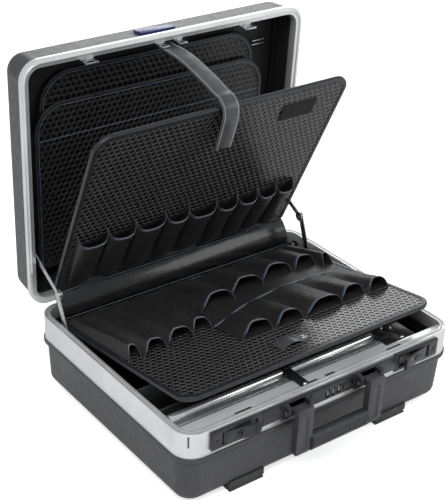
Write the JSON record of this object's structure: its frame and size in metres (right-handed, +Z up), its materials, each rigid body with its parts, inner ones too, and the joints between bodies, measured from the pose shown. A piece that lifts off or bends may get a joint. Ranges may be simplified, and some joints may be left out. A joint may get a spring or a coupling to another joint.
{
  "type": "tool_case",
  "caption": "Hard tool case standing open: moulded shells with aluminium frames, hinged lid on folding stays, front handle, latches and dials, and a hinged tool wallet with pockets",
  "frame": {"origin": "on the floor below the middle of the open case's bounding box", "axes": "+X to the right seen from the front, +Y to the back, +Z up; drawn standing open as it rests on the floor"},
  "size_m": [0.4848, 0.4862, 0.4956],
  "materials": {
    "shell_abs": "fine moulded grain, satin",
    "frame_aluminium": "extruded, satin anodised",
    "ledge_aluminium": "satin anodised sheet",
    "liner_black": "textured vacuum-formed sheet",
    "steel_bright": "bright plated steel",
    "steel_satin": "zinc-plated steel",
    "black_plastic": "moulded, semi-gloss",
    "foot_rubber": "moulded rubber-like plastic",
    "lock_coating": "dark grey stove enamel",
    "handle_plastic": "moulded, satin",
    "grip_plastic": "moulded soft-touch",
    "dial_plastic": "moulded with printed numbers",
    "badge_blue": "bare moulded plate, semi-gloss",
    "pallet_fabric": "embossed honeycomb sheet on board",
    "binding_leatherette": "smooth coated binding tape",
    "strap_leatherette": "coated strap, edge stitched",
    "hook_fabric": "hook-and-loop patch"
  },
  "bodies": {
    "base": {"base_shell": "shell_abs", "base_frame": "frame_aluminium", "lock_ledge": "ledge_aluminium", "base_liner": "liner_black", "front_rail": "ledge_aluminium", "tray_dividers": "ledge_aluminium", "rail_end_bracket": "black_plastic", "rail_clip": "black_plastic", "tray_rivets": "steel_bright", "feet": "foot_rubber", "lock_plate": "lock_coating", "latch_plate_left": "lock_coating", "latch_plate_right": "lock_coating", "handle_brackets": "lock_coating", "handle_pins": "steel_satin", "base_hinge_leaves": "steel_satin", "hinge_pins": "steel_satin", "stay_base_pins": "steel_bright", "dial_shaft": "steel_satin", "wallet_rod": "steel_satin"},
    "lid": {"lid_shell": "shell_abs", "lid_frame": "frame_aluminium", "lid_strikers": "steel_bright", "lid_panel": "liner_black", "document_pocket_rear": "pallet_fabric", "document_pocket_front": "pallet_fabric", "wire_clip": "steel_bright", "badge_plate": "badge_blue", "strap": "strap_leatherette", "strap_anchor": "binding_leatherette", "lid_hinge_leaves": "steel_satin", "stay_lid_pins": "steel_bright"},
    "handle": {"handle_arms": "handle_plastic", "handle_grip": "grip_plastic"},
    "latch_left": {"latch_lever_left": "lock_coating"},
    "latch_right": {"latch_lever_right": "lock_coating"},
    "key_left": {"key_cylinder_left": "black_plastic"},
    "key_right": {"key_cylinder_right": "black_plastic"},
    "dial_a": {"dial_a": "dial_plastic"},
    "dial_b": {"dial_b": "dial_plastic"},
    "dial_c": {"dial_c": "dial_plastic"},
    "button": {"release_button": "lock_coating"},
    "link_lower_left": {"stay_lower_left": "steel_bright"},
    "link_lower_right": {"stay_lower_right": "steel_bright"},
    "link_upper_left": {"stay_upper_left": "steel_bright"},
    "link_upper_right": {"stay_upper_right": "steel_bright"},
    "wallet_spine": {"spine": "binding_leatherette", "spine_rod": "steel_satin"},
    "wallet_upper": {"upper_board": "pallet_fabric", "upper_binding": "binding_leatherette", "upper_pockets": "pallet_fabric", "hook_patch": "hook_fabric"},
    "wallet_lower": {"lower_board": "pallet_fabric", "lower_binding": "binding_leatherette", "lower_rear_pockets": "pallet_fabric", "lower_front_pockets": "pallet_fabric", "board_tab": "black_plastic"}
  },
  "joints": [
    {"name": "lid_hinge", "type": "hinge", "parent": "base", "child": "lid", "pos_m": [0, 0.17343, 0.1116], "axis": [1, 0, 0], "range_deg": [0, 88], "deforming": ["strap"]},
    {"name": "handle_hinge", "type": "hinge", "parent": "base", "child": "handle", "pos_m": [0, -0.22107, 0.109], "axis": [1, 0, 0], "range_deg": [-90, 0]},
    {"name": "latch_left_hinge", "type": "hinge", "parent": "base", "child": "latch_left", "pos_m": [-0.18, -0.21207, 0.1065], "axis": [0, 0, 1], "range_deg": [-30, 12]},
    {"name": "latch_right_hinge", "type": "hinge", "parent": "base", "child": "latch_right", "pos_m": [0.18, -0.21207, 0.1065], "axis": [0, 0, 1], "range_deg": [-12, 30]},
    {"name": "key_left_turn", "type": "hinge", "parent": "latch_left", "child": "key_left", "pos_m": [-0.1575, -0.21685, 0.1065], "axis": [-0.2079, -0.9781, 0], "range_deg": [0, 90]},
    {"name": "key_right_turn", "type": "hinge", "parent": "latch_right", "child": "key_right", "pos_m": [0.1575, -0.21685, 0.1065], "axis": [0.2079, -0.9781, 0], "range_deg": [0, 90]},
    {"name": "dial_a_turn", "type": "hinge", "parent": "base", "child": "dial_a", "pos_m": [-0.008, -0.20987, 0.107], "axis": [1, 0, 0], "continuous": true},
    {"name": "dial_b_turn", "type": "hinge", "parent": "base", "child": "dial_b", "pos_m": [0.002, -0.20987, 0.107], "axis": [1, 0, 0], "continuous": true},
    {"name": "dial_c_turn", "type": "hinge", "parent": "base", "child": "dial_c", "pos_m": [0.012, -0.20987, 0.107], "axis": [1, 0, 0], "continuous": true},
    {"name": "button_slide", "type": "slide", "parent": "base", "child": "button", "axis": [1, 0, 0], "range_m": [0, 0.004], "stiffness_N_per_m": 300},
    {"name": "stay_lower_left_pivot", "type": "hinge", "parent": "base", "child": "link_lower_left", "pos_m": [-0.2267, 0.08743, 0.0656], "axis": [1, 0, 0], "range_deg": [0, 88.5]},
    {"name": "stay_lower_right_pivot", "type": "hinge", "parent": "base", "child": "link_lower_right", "pos_m": [0.2267, 0.08743, 0.0656], "axis": [1, 0, 0], "range_deg": [0, 88.5]},
    {"name": "stay_upper_left_pivot", "type": "hinge", "parent": "link_lower_left", "child": "link_upper_left", "pos_m": [-0.22455, 0.12743, 0.1636], "axis": [1, 0, 0], "range_deg": [-88.5, 0]},
    {"name": "stay_upper_right_pivot", "type": "hinge", "parent": "link_lower_right", "child": "link_upper_right", "pos_m": [0.22455, 0.12743, 0.1636], "axis": [1, 0, 0], "range_deg": [-88.5, 0]},
    {"name": "spine_hinge", "type": "hinge", "parent": "base", "child": "wallet_spine", "pos_m": [0, 0.14043, 0.105], "axis": [1, 0, 0], "range_deg": [0, 24.6]},
    {"name": "upper_board_hinge", "type": "hinge", "parent": "wallet_spine", "child": "wallet_upper", "pos_m": [0, 0.16141, 0.15104], "axis": [1, 0, 0], "range_deg": [0, 41]},
    {"name": "lower_board_hinge", "type": "hinge", "parent": "base", "child": "wallet_lower", "pos_m": [0, 0.14043, 0.105], "axis": [1, 0, 0], "range_deg": [0, 4.9]}
  ],
  "couplings": [
    {"joint": "stay_lower_left_pivot", "follows": "lid_hinge", "ratio": 1},
    {"joint": "stay_lower_right_pivot", "follows": "lid_hinge", "ratio": 1},
    {"joint": "stay_upper_left_pivot", "follows": "lid_hinge", "ratio": -1},
    {"joint": "stay_upper_right_pivot", "follows": "lid_hinge", "ratio": -1},
    {"joint": "spine_hinge", "follows": "lid_hinge", "ratio": 0.27841},
    {"joint": "upper_board_hinge", "follows": "lid_hinge", "ratio": 0.46364},
    {"joint": "lower_board_hinge", "follows": "lid_hinge", "ratio": 0.054545}
  ]
}
